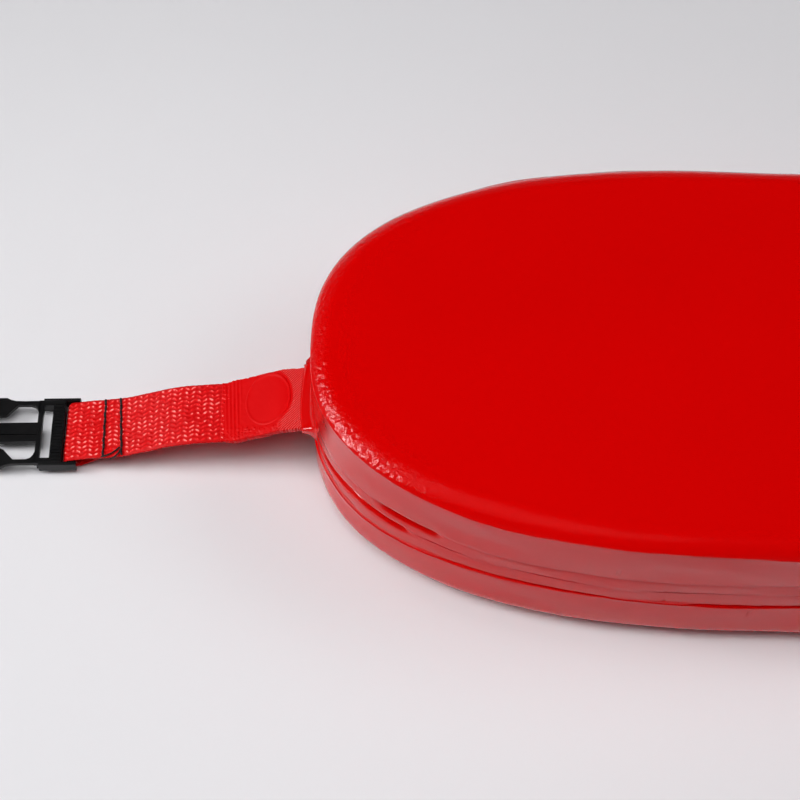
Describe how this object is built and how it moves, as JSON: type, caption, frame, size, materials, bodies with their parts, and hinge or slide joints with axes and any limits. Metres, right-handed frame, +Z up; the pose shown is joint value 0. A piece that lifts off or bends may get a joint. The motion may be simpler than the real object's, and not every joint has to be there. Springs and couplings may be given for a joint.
{
  "type": "swim float",
  "caption": "Strap-on swim float: an oval dip-coated foam pad on a webbing belt with a side-release buckle.",
  "frame": {"origin": "centre of the pad's underside, on the surface that it lies on", "axes": "+X along the pad towards the female half of the buckle, -X towards the male half, +Y across the pad, +Z up out of its top face"},
  "size_m": [0.6821, 0.1576, 0.06],
  "materials": {
    "red_vinyl": "dip-coated vinyl, satin gloss with a faint leathery wrinkle along its rounded edges",
    "red_strap_vinyl": "thin vinyl over webbing, satin",
    "white_foam": "closed-cell polyethylene foam, matt",
    "red_webbing": "herringbone polyester webbing with a slight sheen",
    "black_thread": "bonded polyester thread",
    "black_acetal": "moulded acetal, satin",
    "black_elastic": "flat woven elastic, matt"
  },
  "bodies": {
    "float": {"dip_coating": "red_vinyl", "foam_slab_top": "white_foam", "foam_sheet_upper": "white_foam", "foam_sheet_lower": "white_foam", "foam_slab_bottom": "white_foam", "belt_core": "red_webbing"},
    "left_belt": {"left_strap": "red_webbing", "left_strap_coating": "red_strap_vinyl", "left_strap_disc": "red_strap_vinyl", "left_strap_stitching": "black_thread"},
    "male_buckle": {"male_buckle_frame": "black_acetal"},
    "male_far_arm": {"male_arm_far": "black_acetal"},
    "male_near_arm": {"male_arm_near": "black_acetal"},
    "right_belt": {"right_strap": "red_webbing", "right_strap_coating": "red_strap_vinyl", "right_strap_disc": "red_strap_vinyl", "right_strap_stitching": "black_thread", "folding_band": "black_elastic"},
    "female_buckle": {"female_buckle_shell": "black_acetal"}
  },
  "joints": [
    {"name": "left_belt_root", "type": "hinge", "parent": "float", "child": "left_belt", "pos_m": [-0.165, -0.0027, 0.025], "axis": [-0.0436, 0.999, 0], "range_deg": [-55, 95]},
    {"name": "male_buckle_pivot", "type": "hinge", "parent": "left_belt", "child": "male_buckle", "pos_m": [-0.24552, -0.00622, 0.0033], "axis": [-0.0436, 0.999, 0], "range_deg": [-60, 60]},
    {"name": "male_far_arm_flex", "type": "hinge", "parent": "male_buckle", "child": "male_far_arm", "pos_m": [-0.26064, 0.00539, 0.00495], "axis": [0, 0, 1], "range_deg": [0, 4.5], "stiffness_Nm_per_rad": 0.3},
    {"name": "male_near_arm_flex", "type": "hinge", "parent": "male_buckle", "child": "male_near_arm", "pos_m": [-0.25958, -0.01909, 0.00495], "axis": [0, 0, -1], "range_deg": [0, 4.5], "stiffness_Nm_per_rad": 0.3},
    {"name": "right_belt_root", "type": "hinge", "parent": "float", "child": "right_belt", "pos_m": [0.165, -0.0027, 0.025], "axis": [0, -1, 0], "range_deg": [-55, 95]},
    {"name": "female_buckle_tilt", "type": "hinge", "parent": "right_belt", "child": "female_buckle", "pos_m": [0.369, -0.0027, 0.0033], "axis": [0, 1, 0], "range_deg": [0, 40]}
  ]
}
